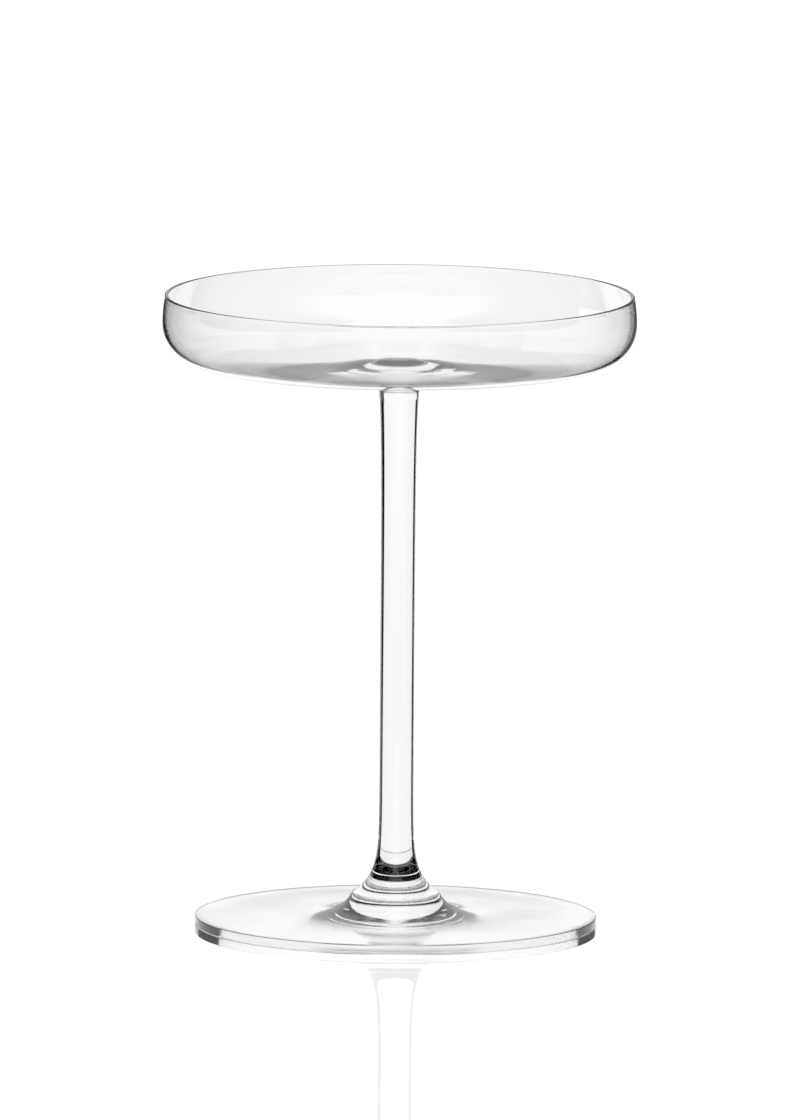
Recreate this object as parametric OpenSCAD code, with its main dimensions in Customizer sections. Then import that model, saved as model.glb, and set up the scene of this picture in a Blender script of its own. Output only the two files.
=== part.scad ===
// Footed dessert glass: a shallow blown bowl on a slim drawn stem and a flat round foot.
// All three pieces are turned about Z. The origin is on the table, under the middle of the foot.

/* [Overall] */
// Height from the table to the rim
glass_h = 160.5; // [120:0.5:220]

/* [Bowl] */
// Outside diameter at the widest point
bowl_d = 120; // [90:1:150]
// Distance that the rim draws in from the widest point, on each side
rim_draw_in = 0.6; // [0.4:0.1:2]
// Height of the rim above the widest point
belly_drop = 7.1; // [4:0.1:12]
// Outside radius of the corner between wall and floor
corner_r = 10.3; // [6:0.1:16]
// Thickness of the glass at the rim
rim_t = 1; // [0.8:0.1:2]
// Thickness of the wall from the widest point down, round the corner
wall_t = 0.85; // [0.7:0.05:1.4]
// Depth that the underside bellies down inside the corner
base_dish = 3.7; // [2.5:0.1:6]
// Slope of the underside where it leaves the corner, in degrees
base_slope = 5.6; // [4.6:0.1:10]
// Depth that the inside floor sinks inside the corner
floor_dish = 2.4; // [0.4:0.1:3]
// Slope of the inside floor where it leaves the corner, in degrees
floor_slope = 5; // [3:0.1:8]
// Height of the punt, the rise in the middle of the floor
punt_h = 3.1; // [0.5:0.1:5]
// Radius at which the punt has faded to a third
punt_r = 14.5; // [6:0.5:20]
// Depth of the dimple on top of the punt
dimple_h = 0.5; // [0.1:0.1:1.5]
// Radius at which the dimple has faded to a third
dimple_r = 4.4; // [2:0.1:8]

/* [Stem] */
// Diameter of the slim part of the stem
stem_d = 8.6; // [6:0.1:14]
// Extra radius of the long swelling under the bowl
neck_swell = 0.9; // [0.2:0.1:2]
// Height over which that swelling fades to a third
neck_fade = 14; // [6:1:20]
// Diameter of the weld between bowl and stem
neck_weld_d = 20; // [18:0.5:30]
// Height over which the fillet at the bowl fades to a third
neck_fillet = 1; // [0.4:0.1:3]
// Distance over which that fillet fades to a third on the underside of the bowl
neck_spread = 2.5; // [1:0.1:5]
// Diameter of the weld between stem and foot
base_weld_d = 22; // [18:0.5:32]
// Height over which the flare above the foot fades to a third
flare_fade = 4.2; // [2:0.1:9]

/* [Foot] */
// Diameter of the foot
foot_d = 101.6; // [80:0.2:130]
// Thickness at the outer edge
foot_edge_t = 2.2; // [1.6:0.1:4]
// Radius on the two corners of the edge
edge_round = 0.2; // [0.1:0.1:0.7]
// Rise of the upper face from the edge to where the mound starts
foot_rise = 0.9; // [0.2:0.1:3]
// Height of the mound that carries the stem
mound_h = 5.1; // [2:0.1:8]
// Distance over which the mound fades to a third
mound_fade = 2.6; // [2:0.1:8]
// Width of the ring that the foot rests on
rest_ring_w = 3; // [1:0.5:8]
// Depth of the hollow inside that ring
hollow_h = 0.8; // [0.3:0.1:1.6]

/* [Hidden] */
glass_colour = [0.9, 0.93, 0.93, 0.45];
turn_steps = 144;
curve_steps = 16;
floor_steps = 32;
// Past this many fading lengths a flare is taken as gone
fade_reach = 6;

bowl_r = bowl_d / 2;
stem_r = stem_d / 2;
foot_r = foot_d / 2;
neck_weld_r = neck_weld_d / 2;
base_weld_r = base_weld_d / 2;
lip_r = rim_t / 2;
belly_z = glass_h - belly_drop;
lip_z = glass_h - lip_r;
corner_x = bowl_r - corner_r;
inner_corner_r = corner_r - wall_t;
neck_weld_z = belly_z - corner_r - base_dish;
base_weld_z = foot_edge_t + foot_rise + mound_h;
hollow_r = foot_r - edge_round - rest_ring_w;

// Radius at which the underside and the inside floor run into their corners
base_end = corner_x + corner_r * sin(base_slope);
floor_end = corner_x + inner_corner_r * sin(floor_slope);
// Height from the lowest point of each to that place
base_drop = base_dish + corner_r * (1 - cos(base_slope));
floor_drop = floor_dish + inner_corner_r * (1 - cos(floor_slope));
// Power of the radius that each follows, so that it leaves its corner at its own slope
base_power = tan(base_slope) * base_end / base_drop;
floor_power = tan(floor_slope) * floor_end / floor_drop;

// Points on an arc, both ends included
function arc(centre, radius, from, to) = [
    for (i = [0:curve_steps])
        let (angle = from + (to - from) * i / curve_steps)
            centre + radius * [cos(angle), sin(angle)]
];

// Radius of an arc that is upright at one end and draws in by sag over a height
function wall_arc_r(sag, height) = (sag * sag + height * height) / (2 * sag);

// Height of the underside of the bowl at a radius, from the fillet of the weld outwards
function base_height(r) =
    neck_weld_z
    + base_drop * pow(r / base_end, base_power)
    - base_drop * pow(neck_weld_r / base_end, base_power) * exp((neck_weld_r - r) / neck_spread);

// Height of the inside floor of the bowl at a radius: a shallow dish with a punt and a dimple on it
function floor_height(r) =
    belly_z - inner_corner_r - floor_dish
    + floor_drop * pow(r / floor_end, floor_power)
    + punt_h * exp(-pow(r / punt_r, 2))
    - dimple_h * exp(-pow(r / dimple_r, 2));

// Round corner and barrelled wall, from the floor to the lip
function bowl_side(corner, slope, sag) =
    let (
        wall_h = lip_z - belly_z,
        wall_r = wall_arc_r(sag, wall_h),
        wall_x = corner_x + corner - wall_r
    )
    concat(
        arc([corner_x, belly_z], corner, slope - 90, 0),
        arc([wall_x, belly_z], wall_r, 0, asin(wall_h / wall_r))
    );

function reversed(points) = [for (i = [len(points) - 1:-1:0]) points[i]];

// Half of the round lip that closes the top of the wall, between its two faces
function lip(outer, inner) =
    let (middle = (outer + inner) / 2)
        arc(middle, norm(outer - inner) / 2, 0, 180);

// Radius of the stem at a height: the slim rod, its swelling and fillet above, its flare below
function stem_radius(z) =
    stem_r
    + neck_swell * exp((z - neck_weld_z) / neck_fade)
    + (neck_weld_r - stem_r - neck_swell) * exp((z - neck_weld_z) / neck_fillet)
    + (base_weld_r - stem_r) * exp((base_weld_z - z) / flare_fade);

// Height of the upper face of the foot at a radius: a low cone that runs up into the mound
function foot_top(r) =
    foot_edge_t
    + foot_rise * (foot_r - r) / (foot_r - base_weld_r)
    + mound_h * exp((base_weld_r - r) / mound_fade);

// Blown bowl with a flat round under it where the stem is welded on
module bowl() {
    outer = bowl_side(corner_r, base_slope, rim_draw_in);
    inner = bowl_side(inner_corner_r, floor_slope, rim_draw_in + rim_t - wall_t);
    outer_end = outer[len(outer) - 1];
    inner_end = inner[len(inner) - 1];
    color(glass_colour)
        rotate_extrude($fn = turn_steps)
            polygon(concat(
                [[0, neck_weld_z]],
                [
                    for (i = [0:floor_steps - 1])
                        let (r = neck_weld_r + (base_end - neck_weld_r) * pow(i / floor_steps, 1.5))
                            [r, base_height(r)]
                ],
                outer,
                lip(outer_end, inner_end),
                reversed(inner),
                [
                    for (i = [floor_steps - 1:-1:0])
                        let (r = floor_end * pow(i / floor_steps, 1.5))
                            [r, floor_height(r)]
                ]
            ));
}

// Drawn stem, solid glass, flared at both welds
module stem() {
    flare_h = fade_reach * flare_fade;
    neck_h = fade_reach * neck_fade;
    heights = concat(
        [for (i = [0:curve_steps]) base_weld_z + flare_h * pow(i / curve_steps, 2)],
        [for (i = [curve_steps:-1:0]) neck_weld_z - neck_h * pow(i / curve_steps, 3)]
    );
    color(glass_colour)
        rotate_extrude($fn = turn_steps)
            polygon(concat(
                [[0, base_weld_z]],
                [for (z = heights) [stem_radius(z), z]],
                [[0, neck_weld_z]]
            ));
}

// Flat round foot with a mound under the stem and a shallow hollow underneath
module foot() {
    top_end = foot_r - edge_round;
    hollow_arc_r = wall_arc_r(hollow_h, hollow_r);
    color(glass_colour)
        rotate_extrude($fn = turn_steps)
            polygon(concat(
                arc([0, hollow_h - hollow_arc_r], hollow_arc_r, 90, acos(hollow_r / hollow_arc_r)),
                arc([top_end, edge_round], edge_round, -90, 0),
                arc([top_end, foot_edge_t - edge_round], edge_round, 0, 90),
                [
                    for (i = [curve_steps:-1:0])
                        let (r = base_weld_r + (top_end - base_weld_r) * pow(i / curve_steps, 2))
                            [r, foot_top(r)]
                ],
                [[0, base_weld_z]]
            ));
}

bowl();
stem();
foot();
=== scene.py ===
import math

import bpy
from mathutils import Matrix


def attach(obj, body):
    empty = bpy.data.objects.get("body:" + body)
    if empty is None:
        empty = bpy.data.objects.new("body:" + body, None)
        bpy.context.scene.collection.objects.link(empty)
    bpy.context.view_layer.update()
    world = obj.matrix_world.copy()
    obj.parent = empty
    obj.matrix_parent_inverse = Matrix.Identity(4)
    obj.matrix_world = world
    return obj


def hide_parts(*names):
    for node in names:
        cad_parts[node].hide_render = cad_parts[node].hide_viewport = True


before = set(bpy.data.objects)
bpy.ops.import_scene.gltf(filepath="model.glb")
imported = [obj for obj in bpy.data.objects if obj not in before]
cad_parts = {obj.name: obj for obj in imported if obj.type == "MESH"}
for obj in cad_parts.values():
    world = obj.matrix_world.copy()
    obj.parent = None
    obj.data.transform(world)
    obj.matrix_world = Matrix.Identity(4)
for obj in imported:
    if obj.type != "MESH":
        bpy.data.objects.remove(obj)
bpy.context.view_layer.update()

# Bowl
# The shallow dish that holds the dessert: clear soda-lime glass, blown and turned in a mould.
# Its wall draws in a little to a fire-polished lip, and its floor thickens where the stem is welded on.
MM = 0.001
glass_h = 160.5 * MM
bowl_r = 60.0 * MM
rim_draw_in = 0.6 * MM
belly_drop = 7.1 * MM
corner_r = 10.3 * MM
rim_t = 1.0 * MM
wall_t = 0.85 * MM
base_dish = 3.7 * MM
base_slope = math.radians(5.6)
floor_dish = 2.4 * MM
floor_slope = math.radians(5.0)
punt_h = 3.1 * MM
punt_r = 14.5 * MM
dimple_h = 0.5 * MM
dimple_r = 4.4 * MM
neck_weld_r = 10.0 * MM
neck_spread = 2.5 * MM
belly_z = glass_h - belly_drop
lip_z = glass_h - rim_t / 2
corner_x = bowl_r - corner_r
inner_corner_r = corner_r - wall_t
neck_weld_z = belly_z - corner_r - base_dish
base_end = corner_x + corner_r * math.sin(base_slope)
floor_end = corner_x + inner_corner_r * math.sin(floor_slope)
base_drop = base_dish + corner_r * (1 - math.cos(base_slope))
floor_drop = floor_dish + inner_corner_r * (1 - math.cos(floor_slope))
base_power = math.tan(base_slope) * base_end / base_drop
floor_power = math.tan(floor_slope) * floor_end / floor_drop
floor_steps = 90
# The steps along the floor grow with this power of the way out, so they are finest near the axis
floor_step_growth = 1.5
bend_steps = 40
wall_steps = 16
lip_steps = 16
turn_steps = 256
smooth_up_to = math.radians(30)
same_point = 0.002 * MM
same_height = 0.001 * MM
glass_ior = 1.52
# Nearly all of the noise that makes the ripple lies between these two values
ripple_low = 0.3
ripple_high = 0.7


def arc(middle, radius, start, end, steps):
    """Points on an arc between two angles in degrees, both ends included"""
    angles = [math.radians(start + (end - start) * step / steps) for step in range(steps + 1)]
    return [(middle[0] + radius * math.cos(a), middle[1] + radius * math.sin(a)) for a in angles]


def base_height(r):
    """Height of the underside of the bowl at a radius, from the fillet of the weld outwards"""
    dish = base_drop * (r / base_end) ** base_power
    fillet = base_drop * (neck_weld_r / base_end) ** base_power * math.exp((neck_weld_r - r) / neck_spread)
    return neck_weld_z + dish - fillet


def floor_height(r):
    """Height of the inside floor at a radius: a shallow dish with a punt and a dimple on it"""
    dish = floor_drop * (r / floor_end) ** floor_power
    punt = punt_h * math.exp(-((r / punt_r) ** 2))
    dimple = dimple_h * math.exp(-((r / dimple_r) ** 2))
    return belly_z - inner_corner_r - floor_dish + dish + punt - dimple


def bowl_side(corner, slope, sag):
    """Round corner and barrelled wall, from the floor to the lip"""
    wall_h = lip_z - belly_z
    wall_r = (sag**2 + wall_h**2) / (2 * sag)
    lean = math.degrees(math.asin(wall_h / wall_r))
    bend = arc((corner_x, belly_z), corner, math.degrees(slope) - 90, 0, bend_steps)
    wall = arc((corner_x + corner - wall_r, belly_z), wall_r, 0, lean, wall_steps)
    return bend + wall[1:]


def turned(name, outline):
    """Draws half of an outline point by point, spins it about the axis and closes seam and poles"""
    bpy.ops.object.select_all(action="DESELECT")
    start_r, start_z = outline[0]
    bpy.ops.mesh.primitive_plane_add(size=MM, location=(start_r, 0, start_z))
    piece = bpy.context.object
    piece.name = name
    piece.data.name = name
    bpy.ops.object.transform_apply(location=True)
    bpy.ops.object.mode_set(mode="EDIT")
    bpy.ops.mesh.merge(type="CENTER")
    for (r, z), (next_r, next_z) in zip(outline, outline[1:]):
        step = (next_r - r, 0, next_z - z)
        bpy.ops.mesh.extrude_vertices_move(TRANSFORM_OT_translate={"value": step})
    bpy.ops.mesh.select_all(action="SELECT")
    bpy.ops.mesh.spin(steps=turn_steps, angle=math.tau, center=(0, 0, 0), axis=(0, 0, 1))
    bpy.ops.mesh.select_all(action="SELECT")
    bpy.ops.mesh.remove_doubles(threshold=same_point)
    bpy.ops.mesh.normals_make_consistent(inside=False)
    bpy.ops.object.mode_set(mode="OBJECT")
    bpy.ops.object.shade_smooth_by_angle(angle=smooth_up_to)
    return piece


def add_node(tree, kind, inputs, **settings):
    """Adds a node, sets its options, and sets or links its inputs"""
    made = tree.nodes.new(kind)
    for option, value in settings.items():
        setattr(made, option, value)
    for socket, value in inputs.items():
        if isinstance(value, bpy.types.NodeSocket):
            tree.links.new(value, made.inputs[socket])
        else:
            made.inputs[socket].default_value = value
    return made


def linear(hex_colour):
    """A linear colour from an sRGB hex value"""
    channels = [int(hex_colour[place:place + 2], 16) / 255 for place in (1, 3, 5)]
    return [c / 12.92 if c <= 0.04045 else ((c + 0.055) / 1.055) ** 2.4 for c in channels] + [1.0]


def clear_glass(name, colour, stretch, ripple, ripple_depth, haze):
    """Colourless glass that cooled from the fire: a soft ripple bends the light, a trace of haze veils it"""
    least_haze, most_haze = haze
    glass = bpy.data.materials.new(name)
    glass.use_nodes = True
    tree = glass.node_tree
    tree.nodes.clear()
    place = add_node(tree, "ShaderNodeTexCoord", {})
    lie = add_node(tree, "ShaderNodeMapping", {"Vector": place.outputs["Object"], "Scale": stretch})
    flow = add_node(
        tree,
        "ShaderNodeTexNoise",
        {"Vector": lie.outputs["Vector"], "Scale": 1 / ripple, "Detail": 1.0, "Roughness": 0.4},
    )
    veil = add_node(
        tree,
        "ShaderNodeMapRange",
        {
            "Value": flow.outputs["Fac"],
            "From Min": ripple_low,
            "From Max": ripple_high,
            "To Min": least_haze,
            "To Max": most_haze,
        },
    )
    skin = add_node(
        tree,
        "ShaderNodeBump",
        {"Height": flow.outputs["Fac"], "Distance": ripple_depth, "Strength": 1.0},
    )
    body = add_node(
        tree,
        "ShaderNodeBsdfPrincipled",
        {
            "Base Color": linear(colour),
            "Roughness": veil.outputs["Result"],
            "IOR": glass_ior,
            "Transmission Weight": 1.0,
            "Normal": skin.outputs["Normal"],
        },
    )
    add_node(tree, "ShaderNodeOutputMaterial", {"Surface": body.outputs["BSDF"]})
    return glass


def glaze(piece, glass, weld_heights):
    """Glass all over, and the melted-through finish on the flat faces of the welds"""
    piece.data.materials.append(glass)
    piece.data.materials.append(melted_weld)
    for face in piece.data.polygons:
        heights = [piece.data.vertices[corner].co.z for corner in face.vertices]
        for weld_z in weld_heights:
            if max(abs(z - weld_z) for z in heights) < same_height:
                face.material_index = 1


# Hot weld: the two glasses have run into one, so light crosses it unbent and nothing of it shows
melted_weld = bpy.data.materials.new("melted_glass_weld")
melted_weld.use_nodes = True
melted_weld.node_tree.nodes.clear()
melt = add_node(melted_weld.node_tree, "ShaderNodeBsdfTransparent", {"Color": linear("#FFFFFF")})
add_node(melted_weld.node_tree, "ShaderNodeOutputMaterial", {"Surface": melt.outputs["BSDF"]})

outside = bowl_side(corner_r, base_slope, rim_draw_in)
inside = bowl_side(inner_corner_r, floor_slope, rim_draw_in + rim_t - wall_t)
lip_middle = ((outside[-1][0] + inside[-1][0]) / 2, lip_z)
lip = arc(lip_middle, outside[-1][0] - lip_middle[0], 0, 180, lip_steps)
steps_out = [(step / floor_steps) ** floor_step_growth for step in range(floor_steps)]
base_radii = [neck_weld_r + (base_end - neck_weld_r) * step for step in steps_out]
underside = [(0, neck_weld_z)] + [(r, base_height(r)) for r in base_radii]
floor = [(floor_end * step, floor_height(floor_end * step)) for step in steps_out]
bowl_outline = underside + outside + lip[1:-1] + inside[::-1] + floor[::-1]
bowl = turned("bowl_glass", bowl_outline)
# Blown glass: bright and clear, with a slow ripple about 14 mm long that frays what shows through it
blown_glass = clear_glass(
    "blown_soda_lime_glass", "#FCFCFC", (1, 1, 1), 14 * MM, 0.004 * MM, (0.006, 0.015)
)
glaze(bowl, blown_glass, [neck_weld_z])
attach(bowl, "root")
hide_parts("bowl")

# Stem
# The slim solid rod, drawn hot out of the underside of the bowl, so it swells a little at the top.
# It flares over the foot, where it is welded to it.
stem_r = 4.3 * MM
neck_swell = 0.9 * MM
neck_fade = 14.0 * MM
neck_fillet = 1.0 * MM
base_weld_r = 11.0 * MM
flare_fade = 4.2 * MM
foot_edge_t = 2.2 * MM
foot_rise = 0.9 * MM
mound_h = 5.1 * MM
base_weld_z = foot_edge_t + foot_rise + mound_h
# Heights in which flare and swelling are drawn in fine steps, from their welds
flare_reach = 30 * MM
neck_reach = 80 * MM
stem_steps = 60


def stem_radius(z):
    """Radius of the stem at a height: the rod, its swelling and fillet above, its flare below"""
    above = z - neck_weld_z
    swelling = neck_swell * math.exp(above / neck_fade)
    fillet = (neck_weld_r - stem_r - neck_swell) * math.exp(above / neck_fillet)
    flare = (base_weld_r - stem_r) * math.exp((base_weld_z - z) / flare_fade)
    return stem_r + swelling + fillet + flare


flare_heights = [base_weld_z + flare_reach * (step / stem_steps) ** 2 for step in range(stem_steps + 1)]
neck_heights = [neck_weld_z - neck_reach * (step / stem_steps) ** 3 for step in range(stem_steps, -1, -1)]
stem_side = [(stem_radius(z), z) for z in flare_heights + neck_heights]
stem = turned("stem_glass", [(0, base_weld_z)] + stem_side + [(0, neck_weld_z)])
# Drawn glass: the pull leaves faint streaks along the rod, far longer than they are wide
drawn_glass = clear_glass(
    "drawn_soda_lime_glass", "#FEFEFE", (1, 1, 0.08), 5 * MM, 0.0006 * MM, (0.006, 0.01)
)
glaze(stem, drawn_glass, [base_weld_z, neck_weld_z])
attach(stem, "root")
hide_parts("stem")

# Foot
# The flat round foot: a gather of glass pressed flat and spun out, with a mound that carries the stem.
# It stands on a narrow ring round a shallow hollow.
foot_r = 50.8 * MM
edge_round = 0.2 * MM
mound_fade = 2.6 * MM
rest_ring_w = 3.0 * MM
hollow_h = 0.8 * MM
foot_steps = 80
hollow_steps = 30
edge_steps = 10


def foot_top(r):
    """Height of the upper face of the foot at a radius: a low cone that runs up into the mound"""
    cone = foot_rise * (foot_r - r) / (foot_r - base_weld_r)
    return foot_edge_t + cone + mound_h * math.exp((base_weld_r - r) / mound_fade)


top_end = foot_r - edge_round
hollow_r = top_end - rest_ring_w
hollow_arc_r = (hollow_h**2 + hollow_r**2) / (2 * hollow_h)
hollow_end = math.degrees(math.acos(hollow_r / hollow_arc_r))
under = arc((0, hollow_h - hollow_arc_r), hollow_arc_r, 90, hollow_end, hollow_steps)
low_edge = arc((top_end, edge_round), edge_round, -90, 0, edge_steps)
high_edge = arc((top_end, foot_edge_t - edge_round), edge_round, 0, 90, edge_steps)
top_radii = [
    base_weld_r + (top_end - base_weld_r) * (step / foot_steps) ** 2
    for step in range(foot_steps - 1, -1, -1)
]
upper = [(r, foot_top(r)) for r in top_radii]
foot = turned("foot_glass", under + low_edge + high_edge + upper + [(0, base_weld_z)])
# Spun glass: slightly veiled, so its thin edge shows soft tones and not hard stripes
spun_glass = clear_glass(
    "spun_soda_lime_glass", "#FEFEFE", (1, 1, 1), 20 * MM, 0.002 * MM, (0.03, 0.1)
)
glaze(foot, spun_glass, [base_weld_z])
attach(foot, "root")
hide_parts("foot")

# Table
# A sheet of white acrylic under the glass: as bright as the wall behind it, so that nothing shows on it
# but a mirror image of the foot. It is polished where the glass stands and goes matt around that place.
# The glass itself shows the room and the cards below it, so light that has crossed it passes the sheet.
table_w = 3.0
table_gap = 0.05 * MM
polish_end = 57.0 * MM
matt_start = 76.0 * MM
polished_share = 0.92
matt_share = 0.2
sheet_light = 1.05
mirror_tint = (1.14, 1.14, 1.14, 1.0)
bpy.ops.object.select_all(action="DESELECT")
bpy.ops.mesh.primitive_plane_add(size=table_w, location=(0, 0, -table_gap))
table = bpy.context.object
table.name = "table"
acrylic = bpy.data.materials.new("white_polished_acrylic")
acrylic.use_nodes = True
sheet_tree = acrylic.node_tree
sheet_tree.nodes.clear()
spot = add_node(sheet_tree, "ShaderNodeTexCoord", {})
reach = add_node(sheet_tree, "ShaderNodeVectorMath", {0: spot.outputs["Object"]}, operation="LENGTH")
polish = add_node(
    sheet_tree,
    "ShaderNodeMapRange",
    {
        "Value": reach.outputs["Value"],
        "From Min": polish_end,
        "From Max": matt_start,
        "To Min": polished_share,
        "To Max": matt_share,
    },
    interpolation_type="SMOOTHSTEP",
)
lit_white = add_node(
    sheet_tree, "ShaderNodeEmission", {"Color": linear("#FFFFFF"), "Strength": sheet_light}
)
gloss = add_node(sheet_tree, "ShaderNodeBsdfGlossy", {"Color": mirror_tint, "Roughness": 0.0})
sheet_face = add_node(
    sheet_tree,
    "ShaderNodeMixShader",
    {0: polish.outputs["Result"], 1: lit_white.outputs["Emission"], 2: gloss.outputs["BSDF"]},
)
add_node(sheet_tree, "ShaderNodeOutputMaterial", {"Surface": sheet_face.outputs["Shader"]})
table.data.materials.append(acrylic)
table.visible_transmission = False

# Camera
# A long lens from a little above the rim, so the rim and the foot show as flat ellipses.
# The middle of the foot lies low in the upright picture of 800 by 1120.
photo_w = 800
photo_h = 1120
photo_pixel = 0.2532 * MM
camera_rise = math.radians(8.15)
camera_roll = math.radians(0.4)
camera_far = 8.0
view_end = 100.0
sensor_side = 36.0
foot_across = 398.0
foot_down = 923.4
right_of_axis = (photo_w / 2 - foot_across) * photo_pixel
above_foot = (foot_down - photo_h / 2) * photo_pixel
camera_place = (
    right_of_axis,
    math.sin(camera_rise) * above_foot - math.cos(camera_rise) * camera_far,
    math.cos(camera_rise) * above_foot + math.sin(camera_rise) * camera_far,
)
bpy.ops.object.camera_add(location=camera_place)
camera = bpy.context.object
camera.rotation_mode = "ZXY"
camera.rotation_euler = (math.pi / 2 - camera_rise, 0, camera_roll)
camera.name = "camera"
camera.data.sensor_fit = "VERTICAL"
camera.data.sensor_height = sensor_side
camera.data.sensor_width = sensor_side
camera.data.lens = sensor_side * camera_far / (photo_h * photo_pixel)
camera.data.clip_end = view_end
bpy.context.scene.camera = camera

# Studio light
# A white room all round: the glass lets its light through, and mirrors only what is above the table.
# Black and grey cards around the glass, out of the picture, draw its dark edges. They hang on one stand
# that faces the camera, as the set does when a glass is turned to be shown from all sides.
seen_light = 1.0
through_light = 1.02
mirrored_light = 0.9
# Upward slope of the sight line at which the mirrored room is at its full light
horizon_fade = 0.105
white_room = bpy.data.worlds.new("white_room")
bpy.context.scene.world = white_room
white_room.use_nodes = True
room = white_room.node_tree
room.nodes.clear()
sight = add_node(room, "ShaderNodeTexCoord", {})
axes = add_node(room, "ShaderNodeSeparateXYZ", {"Vector": sight.outputs["Generated"]})
above_table = add_node(
    room,
    "ShaderNodeMapRange",
    {
        "Value": axes.outputs["Z"],
        "From Min": 0.0,
        "From Max": horizon_fade,
        "To Min": 0.0,
        "To Max": mirrored_light,
    },
    interpolation_type="SMOOTHSTEP",
)
ray = add_node(room, "ShaderNodeLightPath", {})
through_or_off = add_node(
    room,
    "ShaderNodeMix",
    {0: ray.outputs["Is Reflection Ray"], 2: through_light, 3: above_table.outputs["Result"]},
    data_type="FLOAT",
)
bright = add_node(
    room,
    "ShaderNodeMix",
    {0: ray.outputs["Is Camera Ray"], 2: through_or_off.outputs[0], 3: seen_light},
    data_type="FLOAT",
)
light = add_node(
    room, "ShaderNodeBackground", {"Color": linear("#FFFFFF"), "Strength": bright.outputs[0]}
)
add_node(room, "ShaderNodeOutputWorld", {"Surface": light.outputs["Background"]})

bpy.ops.object.empty_add(location=(0, 0, glass_h / 2))
stand = bpy.context.object
stand.name = "card_stand"
bpy.ops.object.constraint_add(type="TRACK_TO")
facing = stand.constraints[0]
facing.target = camera
facing.track_axis = "TRACK_NEGATIVE_Y"
facing.up_axis = "UP_Z"


def card(name, tone, place, turn, size):
    """A card on the stand that shows in the glass, not to the camera or in the sharp mirror of the table.
    It is white at its end towards the camera and has its tone from the middle backwards"""
    front_end = -0.5
    half_way = 0.0
    bpy.ops.object.select_all(action="DESELECT")
    bpy.ops.mesh.primitive_plane_add(size=1.0)
    sheet = bpy.context.object
    sheet.name = name
    sheet.parent = stand
    sheet.location = place
    sheet.rotation_euler = turn
    sheet.scale = (size[0], size[1], 1.0)
    paper = bpy.data.materials.new(name + "_paper")
    paper.use_nodes = True
    tree = paper.node_tree
    tree.nodes.clear()
    spot = add_node(tree, "ShaderNodeTexCoord", {})
    along = add_node(tree, "ShaderNodeSeparateXYZ", {"Vector": spot.outputs["Object"]})
    fade = add_node(
        tree,
        "ShaderNodeMapRange",
        {
            "Value": along.outputs["Y"],
            "From Min": front_end,
            "From Max": half_way,
            "To Min": 1.0,
            "To Max": linear(tone)[0],
        },
        interpolation_type="SMOOTHSTEP",
    )
    shade = add_node(
        tree, "ShaderNodeEmission", {"Color": linear("#FFFFFF"), "Strength": fade.outputs["Result"]}
    )
    sharp = add_node(tree, "ShaderNodeLightPath", {})
    unseen = add_node(tree, "ShaderNodeBsdfTransparent", {"Color": linear("#FFFFFF")})
    shown = add_node(
        tree,
        "ShaderNodeMixShader",
        {0: sharp.outputs["Is Singular Ray"], 1: shade.outputs["Emission"], 2: unseen.outputs["BSDF"]},
    )
    add_node(tree, "ShaderNodeOutputMaterial", {"Surface": shown.outputs["Shader"]})
    sheet.data.materials.append(paper)
    sheet.visible_camera = False


# Upright cards, in millimetres from the stand: high ones for the bowl, middle ones for the stem,
# low ones for its flare and the foot, and far ones for what the thick glass there bends out sideways
for name, tone, across, front, back, low, high in (
    ("high_card_left", "#202020", -68, -80, 46, 56, 456),
    ("high_card_right", "#505050", 68, -80, 80, 56, 456),
    ("middle_card_left", "#000000", -68, -400, 44, -40, 56),
    ("middle_card_right", "#000000", 68, -400, 74, -40, 56),
    ("low_card_left", "#000000", -68, -400, 44, -125, -40),
    ("low_card_right", "#000000", 68, -400, 74, -125, -40),
    ("far_card_left", "#000000", -300, -400, 260, -250, 75),
    ("far_card_right", "#000000", 300, -400, 300, -250, 75),
):
    middle = (across * MM, (front + back) / 2 * MM, (low + high) / 2 * MM)
    card(name, tone, middle, (0, math.pi / 2, 0), ((high - low) * MM, (back - front) * MM))
# Level cards below the table: one darkens the rim, and an apron in front darkens the foot of the stem
level_card_w = 600 * MM
for name, height, front, back in (
    ("floor_card", -240, -300, 330),
    ("apron_card", -125, -770, 30),
):
    middle = (0, (front + back) / 2 * MM, height * MM)
    card(name, "#000000", middle, (0, 0, 0), (level_card_w, (back - front) * MM))

# Light crosses the walls of bowl, stem and foot many times before it gets out
glass_bounces = 48
scene = bpy.context.scene
scene.view_settings.view_transform = "Standard"
scene.cycles.max_bounces = glass_bounces
scene.cycles.transmission_bounces = glass_bounces
scene.cycles.glossy_bounces = 16
scene.cycles.transparent_max_bounces = 32
